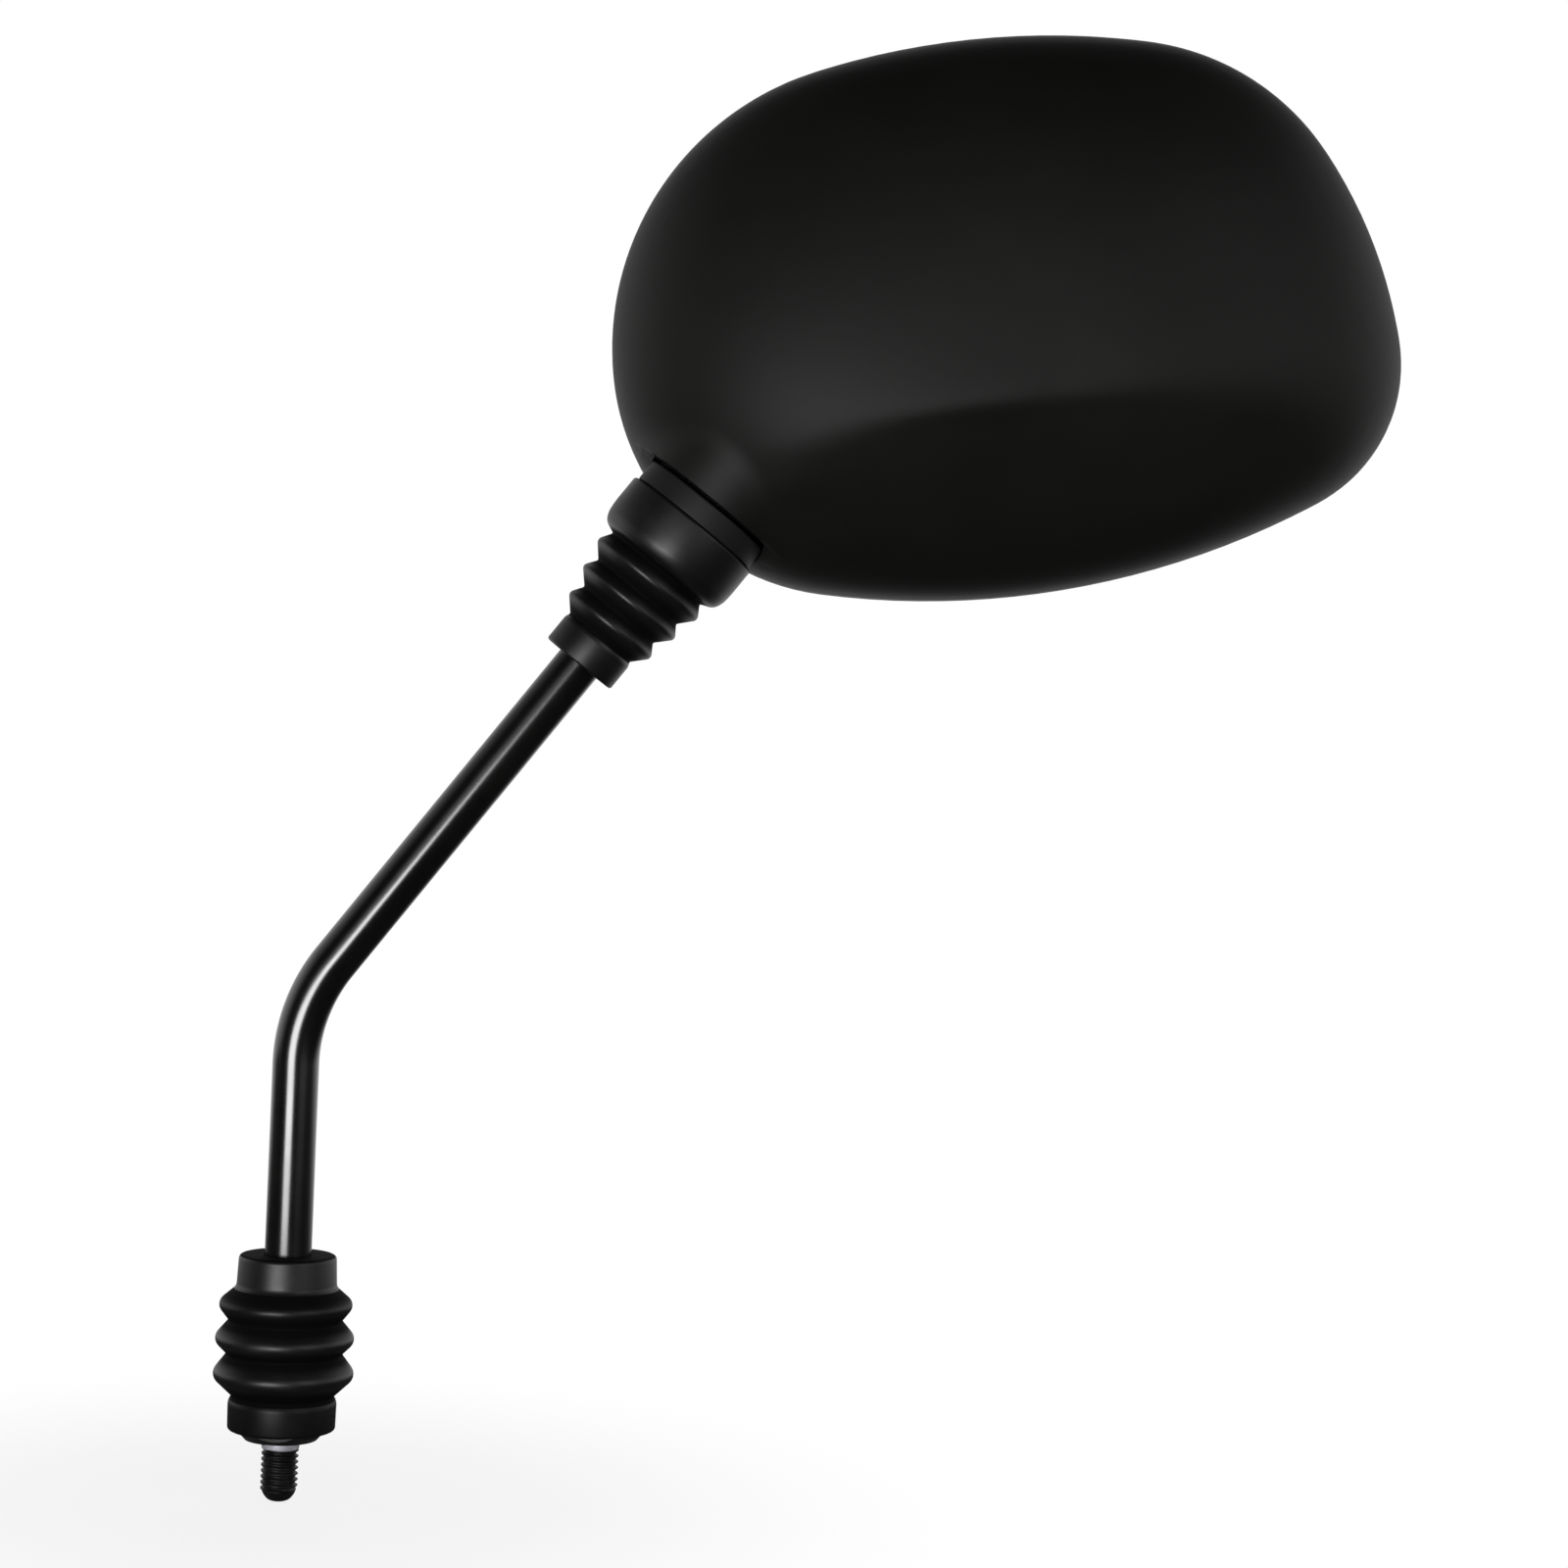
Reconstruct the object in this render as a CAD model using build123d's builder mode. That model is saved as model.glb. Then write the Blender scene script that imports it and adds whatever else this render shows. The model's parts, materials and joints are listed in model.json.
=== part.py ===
from build123d import *
from math import atan2, cos, degrees, hypot, radians, sin, sqrt, tan
import os

os.makedirs("parts", exist_ok=True)

# Motorcycle mirror, in millimetres. +Z is up along the stud, the glass faces +Y,
# and the origin is on the stud's axis at the face that the adapter seats on.

# Fits
running_clearance = 0.05  # round parts that turn in each other
seat_play = 0.04  # flat faces that slide on each other
rubber_clearance = 0.3  # a boot that slides round a harder piece
swing_clearance = 0.4  # round the stem at full tilt

# Stem
stem_diameter = 10.0
bend_angle = 37.0
bend_radius = 37.0
corner_height = 93.0  # from the seat face to the corner of the stem's centre line
corner_to_ball = 142.0  # from that corner to the ball's centre
stem_foot = 4.5  # lower end of the stem above the seat face
stem_chamfer = 0.8

# Adapter and lock nut
hex_across_flats = 17.0
adapter_height = 16.0
seat_face_diameter = 15.6
seat_bevel_angle = 48.0
lock_nut_height = 6.0
nut_bevel_angle = 30.0
stud_diameter = 8.0
stud_length = 13.4
stud_dome_height = 3.0
thread_chamfer = 0.7

# Boots
boot_edge = 0.6

# Base boot, heights above the seat face
base_boot_foot = 2.0
base_collar_height = 7.4
base_collar_wall = 1.4
base_ridges = [(3.6, 13.9), (3.4, 21.5), (2.8, 28.7)]  # step out from the collar, height
base_valleys = [(1.0, 18.4), (0.8, 25.5)]
base_top_wall = 5.5
base_top_foot = 32.2
base_boot_top = 39.6
base_boot_wall = 1.7

# Ball joint
ball_diameter = 16.0
spigot_diameter = 7.0
rivet_head_diameter = 8.8
rivet_head_height = 0.8
tilt_limit = 15.0
seat_outer_diameter = 23.4
seat_split = 0.4  # from the ball's middle to the face of each seat
lower_seat_depth = 6.4
upper_seat_height = 9.2
washer_thickness = 1.0
washer_bore = 10.0
spring_thickness = 1.2
spring_rise = 2.0
spring_bore = 11.0

# Neck ring, distances along the neck from the ball's centre
ring_step = 1.0  # from the neck's edge in to the ring
ring_foot = 8.0
ring_top = 2.9
ring_screw_diameter = 27.0
ring_screw_reach = 2.0
spigot_ring_diameter = 25.6
spigot_ring_foot = 14.0
ring_edge = 0.5
ring_groove = 0.9  # shadow line between the ring and the shell
notch_gap = 0.8  # from the neck's edge out to the shell and the rim beside it

# Neck boot, heights above its small end
neck_collar_radius = 8.7
neck_collar_top = 6.6
neck_valleys = [(8.3, 7.2), (9.5, 13.6), (10.8, 19.9), (12.0, 26.2)]  # radius, height
neck_ridges = [(11.0, 10.8), (12.4, 17.2), (13.5, 23.5)]
mouth_step = 0.2  # from the neck's edge in to the mouth
mouth_shoulder_step = 1.1
mouth_shoulder_height = 27.8
mouth_start = 31.2
mouth_length = 7.6
neck_boot_wall = 1.5

# Head outline, anticlockwise seen from the shell side: radius and turn of each arc
outline_offset = (23.4, -19.3)  # from the ball's centre to the outline's start, along X and Z
outline_heading = -5.0
bottom_radius, bottom_turn = 183.6, 35.0
low_corner_radius, low_corner_turn = 33.5, 71.0
side_radius, side_turn = 103.3, 25.0
high_corner_radius, high_corner_turn = 55.0, 49.0
top_turn = 25.0
left_radius, left_turn = 63.0, 80.0

# Head depths, along Y from the neck's axis
parting_face = 13.0
shell_back = 30.0  # behind the neck's axis
shell_wall = 2.6
ledge_thickness = 2.0
crest_offset = (73.9, 34.9)  # from the ball's centre to the crest
dome_fullness, dome_steepness = 2.3, 2.0
neck_side, neck_spread = 198.0, 60.0  # direction of the neck from the crest, width either side
neck_fullness = 1.0  # extra fullness on that side
facet_lean = 8.5
facet_top, facet_run = 12.5, 54.0  # from the crest to the facet, and across it to the rim
facet_lift = 0.7
facet_sharpness = 10.0
rib_thickness = 2.0
rib_face = 15.0  # behind the neck's axis
rib_offsets = [-40.0, -10.0, 20.0]  # from the crest, along X
neck_radius = 16.2
neck_swell = 6.0
neck_length = 34.0
neck_blend = 14.0
socket_wall = 2.6

# Glass, gasket and bezel
bezel_skirt = 2.6
bezel_lip = 1.4
bezel_opening = 7.4
bezel_round = 4.0
bezel_edge = 0.4
joint_gap = 0.1
tongue_thickness = 2.4
tongue_reach = 5.0
gasket_inner = 8.0
glass_inset = 5.2
glass_thickness = 2.0
glass_radius = 1500.0
glass_margin = 0.25  # rubber behind the glass edge
pad_thickness = 1.5
pad_inset = 16.0

# Worked-out places
stem_radius = stem_diameter / 2
ball_radius = ball_diameter / 2
lean = radians(bend_angle)
neck_direction = (sin(lean), 0, cos(lean))
across_neck = (cos(lean), 0, -sin(lean))
ball_centre = (
    corner_to_ball * sin(lean),
    0,
    corner_height + corner_to_ball * cos(lean),
)
outline_start = (ball_centre[0] + outline_offset[0], ball_centre[2] + outline_offset[1])
crest = (ball_centre[0] + crest_offset[0], ball_centre[2] + crest_offset[1])
neck_axis = Axis(ball_centre, neck_direction)
neck_section = Plane(origin=ball_centre, x_dir=across_neck, z_dir=(0, -1, 0))
neck_plane = Plane(origin=ball_centre, x_dir=across_neck, z_dir=neck_direction)
tilt = radians(tilt_limit)
hex_corner_radius = hex_across_flats / 2 / cos(radians(30))
shell_depth = parting_face + shell_back


def circle_height(radius, half_width):
    """Distance from a circle's centre to the chord with the given half width."""
    return sqrt(radius**2 - half_width**2)


def stem_reach(depth):
    """Radius that the tilted stem sweeps, with its clearance, at a depth below the ball."""
    return depth * tan(tilt) + stem_radius / cos(tilt) + swing_clearance


def soft_step(value):
    """Smooth rise from 0 to 1."""
    value = min(max(value, 0.0), 1.0)
    return value * value * (3 - 2 * value)


# Head outline
def outline_arcs():
    """Radius, turn and start heading of each arc; two radii follow so that the outline closes."""
    turns = [bottom_turn, low_corner_turn, side_turn, high_corner_turn, top_turn, left_turn]
    turns.append(360 - sum(turns))
    radii = [bottom_radius, low_corner_radius, side_radius, high_corner_radius, 0, left_radius, 0]
    headings = [radians(outline_heading + sum(turns[:place])) for place in range(8)]
    steps = [
        (sin(end) - sin(start), cos(start) - cos(end))
        for start, end in zip(headings[:-1], headings[1:])
    ]
    gap_x = -sum(radius * step[0] for radius, step in zip(radii, steps))
    gap_z = -sum(radius * step[1] for radius, step in zip(radii, steps))
    top, corner = steps[4], steps[6]
    spread = top[0] * corner[1] - top[1] * corner[0]
    radii[4] = (gap_x * corner[1] - gap_z * corner[0]) / spread
    radii[6] = (top[0] * gap_z - top[1] * gap_x) / spread
    return list(zip(radii, turns, headings))


head_arcs = outline_arcs()
head_perimeter = sum(radius * radians(turn) for radius, turn, heading in head_arcs)


def outline_point(distance, inset):
    """Point of the outline, moved inwards by the inset."""
    x, z = outline_start
    for radius, turn, heading in head_arcs:
        length = radius * radians(turn)
        travelled = min(distance, length) / radius
        centre = (x - radius * sin(heading), z + radius * cos(heading))
        end = heading + travelled
        x = centre[0] + radius * sin(end)
        z = centre[1] - radius * cos(end)
        if distance <= length:
            break
        distance -= length
    return (x - inset * sin(end), z + inset * cos(end))


def outline_face(inset):
    """Face inside the outline, moved inwards by the inset."""
    with BuildSketch() as drawn:
        with BuildLine():
            place = Vector(*outline_point(0, inset))
            for radius, turn, heading in head_arcs:
                arc = JernArc(place, (cos(heading), sin(heading)), radius - inset, turn)
                place = arc @ 1
        make_face()
    return drawn.sketch


# Depth of the rim, from the glass that it holds
section_points = 72
outline_places = [head_perimeter * number / section_points for number in range(section_points)]
head_points = [outline_point(place, 0) for place in outline_places]
head_middle = (
    (min(x for x, z in head_points) + max(x for x, z in head_points)) / 2,
    (min(z for x, z in head_points) + max(z for x, z in head_points)) / 2,
)


def glass_fall(inset):
    """How far the glass falls back from its crown, at each place of the inset outline."""
    points = [outline_point(place, inset) for place in outline_places]
    reaches = [hypot(x - head_middle[0], z - head_middle[1]) for x, z in points]
    return [glass_radius - circle_height(glass_radius, reach) for reach in reaches]


glass_back_face = parting_face + tongue_reach
glass_crown = glass_back_face + glass_margin + glass_thickness + max(glass_fall(glass_inset))
lip_back = glass_crown - min(glass_fall(bezel_opening)) + glass_margin
front_face = lip_back + bezel_lip
globe_centre = (head_middle[0], glass_crown - glass_radius, head_middle[1])

# Shell form: a dome with one flat facet below the crest
dome_levels = [0, 0.12, 0.3, 0.5, 0.68, 0.82, 0.92, 0.975, 0.996, 0.9995]
facet_slope = facet_run / shell_depth


def facet_reach(rise, depth, inset):
    """How far the facet lies from the crest, at a share and at a depth of the shell."""
    lifted = facet_lift * (1 / rise - 1)
    return facet_top + facet_slope * (shell_back - depth) + lifted - inset * hypot(1, facet_slope)


def dome_section(rise, depth, inset):
    """Closed section of the shell at a share of its depth."""
    tip = radians(facet_lean)
    points = []
    for place in outline_places:
        x, z = outline_point(place, inset)
        across, up = x - crest[0], z - crest[1]
        aside = abs(degrees(atan2(up, across)) % 360 - neck_side) / neck_spread
        fullness = dome_fullness + neck_fullness * (1 - soft_step(aside))
        share = (1 - rise**dome_steepness) ** (1 / fullness)
        toward = across * sin(tip) - up * cos(tip)
        if rise > 0 and toward > 0:
            cut = facet_reach(rise, depth, inset) / toward
            share = (share**-facet_sharpness + cut**-facet_sharpness) ** (-1 / facet_sharpness)
        points.append((crest[0] + across * share, crest[1] + up * share))
    with BuildSketch() as drawn:
        with BuildLine():
            Spline(*points, periodic=True)
        make_face()
    return drawn.sketch


# Adapter with its stud
stud_radius = stud_diameter / 2
stud_dome_radius = (stud_radius**2 + stud_dome_height**2) / (2 * stud_dome_height)
stem_bore_radius = stem_radius + running_clearance
seat_face_radius = seat_face_diameter / 2
seat_bevel = (hex_corner_radius - seat_face_radius) * tan(radians(seat_bevel_angle))
with BuildPart() as adapter:
    with BuildSketch():
        RegularPolygon(hex_across_flats / 2, 6, major_radius=False)
    extrude(amount=adapter_height)
    with BuildSketch(Plane.XZ):
        with BuildLine():
            Polyline(
                (0, 0),
                (seat_face_radius, 0),
                (hex_corner_radius, seat_bevel),
                (hex_corner_radius, adapter_height),
                (0, adapter_height),
                close=True,
            )
        make_face()
    revolve(axis=Axis.Z, mode=Mode.INTERSECT)
    with BuildSketch(Plane.XZ):
        with BuildLine():
            Polyline(
                (0, -stud_length),
                (0, 0),
                (stud_radius, 0),
                (stud_radius, -stud_length + stud_dome_height),
            )
            RadiusArc((stud_radius, -stud_length + stud_dome_height), (0, -stud_length), stud_dome_radius)
        make_face()
    revolve(axis=Axis.Z)
    with Locations((0, 0, adapter_height)):
        Hole(stem_bore_radius, adapter_height - stem_foot + stem_chamfer)
    chamfer(
        adapter.edges().filter_by(GeomType.CIRCLE).sort_by(Axis.Z)[-1:],
        thread_chamfer,
    )
adapter.part.label = "adapter"

# Lock nut on the adapter's top
nut_foot = adapter_height + seat_play
nut_bevel = (hex_corner_radius - hex_across_flats / 2) * tan(radians(nut_bevel_angle))
with BuildPart() as lock_nut:
    with BuildSketch(Plane.XY.offset(nut_foot)):
        RegularPolygon(hex_across_flats / 2, 6, major_radius=False)
    extrude(amount=lock_nut_height)
    with BuildSketch(Plane.XZ):
        with BuildLine():
            Polyline(
                (0, nut_foot),
                (hex_corner_radius, nut_foot),
                (hex_corner_radius, nut_foot + lock_nut_height - nut_bevel),
                (hex_across_flats / 2, nut_foot + lock_nut_height),
                (0, nut_foot + lock_nut_height),
                close=True,
            )
        make_face()
    revolve(axis=Axis.Z, mode=Mode.INTERSECT)
    with Locations((0, 0, nut_foot + lock_nut_height)):
        Hole(stem_bore_radius, lock_nut_height)
lock_nut.part.label = "lock_nut"

# Bent stem with its turned end through the ball
spigot_radius = spigot_diameter / 2
ball_bore_radius = spigot_radius + running_clearance
rivet_radius = rivet_head_diameter / 2
ball_foot_flat = circle_height(ball_radius, stem_radius)
ball_top_flat = circle_height(ball_radius, rivet_radius)
with BuildPart() as stem_rod:
    with BuildLine() as stem_path:
        FilletPolyline(
            (0, 0, stem_foot),
            (0, 0, corner_height),
            neck_plane.from_local_coords((0, 0, -ball_foot_flat)),
            radius=bend_radius,
        )
    with BuildSketch(Plane.XY.offset(stem_foot)):
        Circle(stem_radius)
    sweep(path=stem_path.line)
    chamfer(stem_rod.edges().group_by(Axis.Z)[0], stem_chamfer)
    with BuildSketch(neck_plane.offset(-ball_foot_flat)):
        Circle(spigot_radius)
    extrude(amount=ball_foot_flat + ball_top_flat)
    with BuildSketch(neck_plane.offset(ball_top_flat)):
        Circle(rivet_radius)
    extrude(amount=rivet_head_height)
stem_rod.part.label = "stem_rod"

with BuildPart() as pivot_ball:
    with BuildSketch(neck_section):
        with BuildLine():
            Line((ball_bore_radius, -ball_foot_flat), (stem_radius, -ball_foot_flat))
            ThreePointArc((stem_radius, -ball_foot_flat), (ball_radius, 0), (rivet_radius, ball_top_flat))
            Polyline(
                (rivet_radius, ball_top_flat),
                (ball_bore_radius, ball_top_flat),
                (ball_bore_radius, -ball_foot_flat),
            )
        make_face()
    revolve(axis=neck_axis)
pivot_ball.part.label = "pivot_ball"

# Plastic seats round the ball
seat_radius = seat_outer_diameter / 2
cup_radius = ball_radius + running_clearance
slope = tan(tilt)
throat = stem_radius / cos(tilt) + swing_clearance
throat_depth = (
    sqrt((slope * throat) ** 2 - (1 + slope**2) * (throat**2 - cup_radius**2)) - slope * throat
) / (1 + slope**2)
throat_radius = slope * throat_depth + throat
split_radius = circle_height(cup_radius, seat_split)
rivet_top = ball_top_flat + rivet_head_height
crown_radius = rivet_radius * cos(tilt) + rivet_top * sin(tilt) + swing_clearance
crown_height = circle_height(cup_radius, crown_radius)


def cup_middle(first, last):
    """Point of the ball cup half-way between two of its points."""
    x, y = first[0] + last[0], first[1] + last[1]
    return (x * cup_radius / hypot(x, y), y * cup_radius / hypot(x, y))


with BuildPart() as lower_seat:
    with BuildSketch(neck_section):
        with BuildLine():
            lip = (throat_radius, -throat_depth)
            rim = (split_radius, -seat_split)
            ThreePointArc(lip, cup_middle(lip, rim), rim)
            Polyline(
                rim,
                (seat_radius, -seat_split),
                (seat_radius, -lower_seat_depth),
                (stem_reach(lower_seat_depth), -lower_seat_depth),
                lip,
            )
        make_face()
    revolve(axis=neck_axis)
lower_seat.part.label = "lower_seat"

with BuildPart() as upper_seat:
    with BuildSketch(neck_section):
        with BuildLine():
            rim = (split_radius, seat_split)
            lip = (crown_radius, crown_height)
            ThreePointArc(rim, cup_middle(rim, lip), lip)
            Polyline(
                lip,
                (crown_radius, upper_seat_height),
                (seat_radius, upper_seat_height),
                (seat_radius, seat_split),
                rim,
            )
        make_face()
    revolve(axis=neck_axis)
upper_seat.part.label = "upper_seat"

# Spring pack above the seats
washer_foot = upper_seat_height + seat_play
washer_top = washer_foot + washer_thickness
socket_radius = seat_radius + running_clearance
with BuildPart() as thrust_washer:
    with BuildSketch(neck_plane.offset(washer_foot)):
        Circle(seat_radius)
        Circle(washer_bore / 2, mode=Mode.SUBTRACT)
    extrude(amount=washer_thickness)
thrust_washer.part.label = "thrust_washer"

spring_top = washer_top + spring_rise + spring_thickness
with BuildPart() as disc_spring:
    with BuildSketch(neck_section):
        with BuildLine():
            Polyline(
                (seat_radius, washer_top),
                (seat_radius, washer_top + spring_thickness),
                (spring_bore / 2, spring_top),
                (spring_bore / 2, spring_top - spring_thickness),
                close=True,
            )
        make_face()
    revolve(axis=neck_axis)
disc_spring.part.label = "disc_spring"

# Ring that closes the neck, with the spigot that carries the boot
ring_radius = neck_radius - ring_step
ring_screw_radius = ring_screw_diameter / 2
spigot_ring_radius = spigot_ring_diameter / 2
pocket_floor = lower_seat_depth + seat_play
with BuildPart() as neck_ring:
    with BuildSketch(neck_section):
        with BuildLine():
            Polyline(
                (stem_reach(spigot_ring_foot), -spigot_ring_foot),
                (spigot_ring_radius, -spigot_ring_foot),
                (spigot_ring_radius, -ring_foot),
                (ring_radius, -ring_foot),
                (ring_radius, -ring_top),
                (ring_screw_radius, -ring_top),
                (ring_screw_radius, ring_screw_reach),
                (socket_radius, ring_screw_reach),
                (socket_radius, -pocket_floor),
                (stem_reach(pocket_floor), -pocket_floor),
                close=True,
            )
        make_face()
    revolve(axis=neck_axis)
    rim_edges = neck_ring.edges().filter_by(GeomType.CIRCLE)
    fillet(rim_edges.filter_by(lambda edge: abs(edge.radius - ring_radius) < 0.01), ring_edge)
neck_ring.part.label = "neck_ring"

# Boots
def outer_points(points, step):
    """The same points, moved out from the axis by a step."""
    return [(radius + step, height) for radius, height in points]


def draw_rolls(start, ridges, valleys):
    """Chain of rounded folds from the start, over each ridge and down to the valley after it."""
    with BuildLine() as drawn:
        for ridge, valley in zip(ridges, valleys):
            ThreePointArc(start, ridge, valley)
            start = valley
    return drawn.line


base_bore = hex_corner_radius + rubber_clearance
base_collar_radius = base_bore + base_collar_wall
base_top_radius = stem_radius + base_top_wall
collar_top = base_boot_foot + base_collar_height
outer_ridges = outer_points(base_ridges, base_collar_radius)
outer_valleys = outer_points(base_valleys, base_collar_radius)
with BuildPart() as base_boot:
    with BuildSketch(Plane.XZ):
        with BuildLine():
            outer_start = (base_collar_radius, collar_top)
            outer_end = (base_top_radius, base_top_foot)
            inner_start = (base_bore, collar_top)
            inner_end = (base_top_radius - base_boot_wall, base_top_foot)
            add(draw_rolls(outer_start, outer_ridges, outer_valleys + [outer_end]))
            add(
                draw_rolls(
                    inner_start,
                    outer_points(outer_ridges, -base_boot_wall),
                    outer_points(outer_valleys, -base_boot_wall) + [inner_end],
                )
            )
            Polyline(
                inner_start,
                (base_bore, base_boot_foot),
                (base_collar_radius, base_boot_foot),
                outer_start,
            )
            Polyline(
                outer_end,
                (base_top_radius, base_boot_top),
                (stem_bore_radius, base_boot_top),
                (stem_bore_radius, base_top_foot + base_boot_wall),
                inner_end,
            )
        make_face()
    revolve(axis=Axis.Z)
    rims = base_boot.edges().filter_by(GeomType.CIRCLE).sort_by(Axis.Z)
    foot_rim = rims.filter_by(lambda edge: abs(edge.radius - base_collar_radius) < 0.01)[0]
    top_rim = rims.filter_by(lambda edge: abs(edge.radius - base_top_radius) < 0.01)[-1]
    fillet([foot_rim, top_rim], boot_edge)
base_boot.part.label = "base_boot"

mouth_radius = neck_radius - mouth_step
mouth_shoulder = (mouth_radius - mouth_shoulder_step, mouth_shoulder_height)
neck_boot_length = mouth_start + mouth_length
boot_foot = -ring_foot - seat_play - neck_boot_length
boot_section = Plane(
    origin=neck_plane.from_local_coords((0, 0, boot_foot)),
    x_dir=across_neck,
    z_dir=(0, -1, 0),
)
mouth_bore = spigot_ring_radius + running_clearance
spigot_seat = neck_boot_length - (spigot_ring_foot - ring_foot) - 2 * neck_boot_wall
with BuildPart() as neck_boot:
    with BuildSketch(boot_section):
        with BuildLine():
            inner_valleys = outer_points(neck_valleys, -neck_boot_wall)
            add(draw_rolls(neck_valleys[0], neck_ridges, neck_valleys[1:]))
            add(
                draw_rolls(
                    inner_valleys[0],
                    outer_points(neck_ridges, -neck_boot_wall),
                    inner_valleys[1:],
                )
            )
            ThreePointArc(neck_valleys[-1], mouth_shoulder, (mouth_radius, mouth_start))
            Polyline(
                (mouth_radius, mouth_start),
                (mouth_radius, neck_boot_length),
                (mouth_bore, neck_boot_length),
                (mouth_bore, spigot_seat),
                inner_valleys[-1],
            )
            Polyline(
                inner_valleys[0],
                (stem_bore_radius, neck_collar_top - neck_boot_wall),
                (stem_bore_radius, 0),
                (neck_collar_radius, 0),
                (neck_collar_radius, neck_collar_top),
                neck_valleys[0],
            )
        make_face()
    revolve(axis=neck_axis)
    rims = neck_boot.edges().filter_by(GeomType.CIRCLE).sort_by(neck_axis)
    small_rim = rims.filter_by(lambda edge: abs(edge.radius - neck_collar_radius) < 0.01)[0]
    mouth_rim = rims.filter_by(lambda edge: abs(edge.radius - mouth_radius) < 0.01)[-1]
    fillet([small_rim, mouth_rim], boot_edge)
neck_boot.part.label = "neck_boot"

# Shell: hollow inside first, then the moulding round it
neck_end = -(ring_top - ring_groove)
notch_radius = neck_radius + notch_gap
socket_floor = spring_top + seat_play
screw_seat = ring_screw_reach + joint_gap
screw_bore = ring_screw_radius + running_clearance
notch_far = -neck_boot_length
opening_inset = bezel_skirt + joint_gap + tongue_thickness
hollow_rim = parting_face - ledge_thickness
hollow_depth = hollow_rim + shell_back - shell_wall
with BuildPart() as hollow:
    for level in dome_levels:
        depth = level * hollow_depth - hollow_rim
        with BuildSketch(Plane.XZ.offset(depth)):
            add(dome_section(level, depth, shell_wall))
    loft()
    with BuildSketch(Plane.XZ.offset(-hollow_rim)):
        add(outline_face(opening_inset))
    extrude(amount=-(front_face - hollow_rim))
    rib_reach = shell_back - rib_face
    for offset in rib_offsets:
        with Locations((crest[0] + offset, -rib_face - rib_reach / 2, crest[1])):
            Box(rib_thickness, rib_reach, head_perimeter / 2, mode=Mode.SUBTRACT)
    with Locations((crest[0], -rib_face - rib_reach / 2, crest[1])):
        Box(head_perimeter / 2, rib_reach, rib_thickness, mode=Mode.SUBTRACT)
    # material kept round the neck
    with BuildSketch(neck_section):
        with BuildLine():
            Polyline(
                (0, notch_far),
                (notch_radius + socket_wall, notch_far),
                (notch_radius + socket_wall, neck_end + socket_wall),
                (screw_bore + socket_wall, screw_seat + socket_wall),
                (socket_radius + socket_wall, screw_seat + 2 * socket_wall),
                (socket_radius + socket_wall, socket_floor + socket_wall),
                (0, socket_floor + socket_wall),
                close=True,
            )
        make_face()
    revolve(axis=neck_axis, mode=Mode.SUBTRACT)

with BuildPart() as neck_mass:
    with BuildSketch(neck_section):
        with BuildLine():
            Polyline(
                (0, neck_end),
                (neck_radius, neck_end),
                (neck_radius + neck_swell, neck_length),
                (0, neck_length),
                close=True,
            )
        make_face()
    revolve(axis=neck_axis)
    split(bisect_by=Plane.XZ.offset(-parting_face), keep=Keep.TOP)

with BuildPart() as saddle:
    with BuildSketch(Plane.XZ.offset(-hollow_rim)):
        add(outline_face(bezel_skirt + joint_gap))
    extrude(amount=-(glass_back_face - hollow_rim))
    with BuildSketch(neck_plane.offset(notch_far)):
        Circle(notch_radius + socket_wall)
    extrude(amount=neck_end + socket_wall - notch_far, mode=Mode.INTERSECT)

with BuildPart() as housing:
    for level in dome_levels:
        depth = level * shell_depth - parting_face
        with BuildSketch(Plane.XZ.offset(depth)):
            add(dome_section(level, depth, 0))
    loft()
    add(neck_mass.part)
    neck_face = housing.faces().filter_by(GeomType.CONE)[0]
    fillet(neck_face.edges().filter_by(GeomType.BSPLINE), neck_blend)
    with BuildSketch(Plane.XZ.offset(-parting_face)):
        add(outline_face(bezel_skirt + joint_gap))
    extrude(amount=-tongue_reach)
    add(hollow.part, mode=Mode.SUBTRACT)
    add(saddle.part)
    with BuildSketch(neck_section):
        with BuildLine():
            Polyline(
                (0, notch_far),
                (notch_radius, notch_far),
                (notch_radius, neck_end),
                (screw_bore, neck_end),
                (screw_bore, screw_seat),
                (socket_radius, screw_seat),
                (socket_radius, socket_floor),
                (0, socket_floor),
                close=True,
            )
        make_face()
    revolve(axis=neck_axis, mode=Mode.SUBTRACT)
housing.part.label = "housing"

# Glass, its rubber, its pad and the rim that holds them
def curved_sheet(inset, outer_radius, inner_radius):
    """Sheet between two concentric spheres, cut to the outline."""
    with BuildPart() as sheet:
        with BuildSketch(Plane.XZ):
            add(outline_face(inset))
        extrude(amount=-2 * front_face)
        with Locations(globe_centre):
            Sphere(outer_radius, mode=Mode.INTERSECT)
        with Locations(globe_centre):
            Sphere(inner_radius, mode=Mode.SUBTRACT)
    return sheet.part


glass_inner = glass_radius - glass_thickness
with BuildPart() as mirror_glass:
    add(curved_sheet(glass_inset, glass_radius, glass_inner))
mirror_glass.part.label = "mirror_glass"

with BuildPart() as backing_pad:
    add(curved_sheet(pad_inset, glass_inner, glass_inner - pad_thickness))
backing_pad.part.label = "backing_pad"

with BuildPart() as glass_gasket:
    with BuildSketch(Plane.XZ.offset(-glass_back_face)):
        add(outline_face(bezel_skirt + joint_gap))
        add(outline_face(gasket_inner), mode=Mode.SUBTRACT)
    extrude(amount=-(lip_back - glass_back_face))
    add(mirror_glass.part, mode=Mode.SUBTRACT)
glass_gasket.part.label = "glass_gasket"

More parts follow.
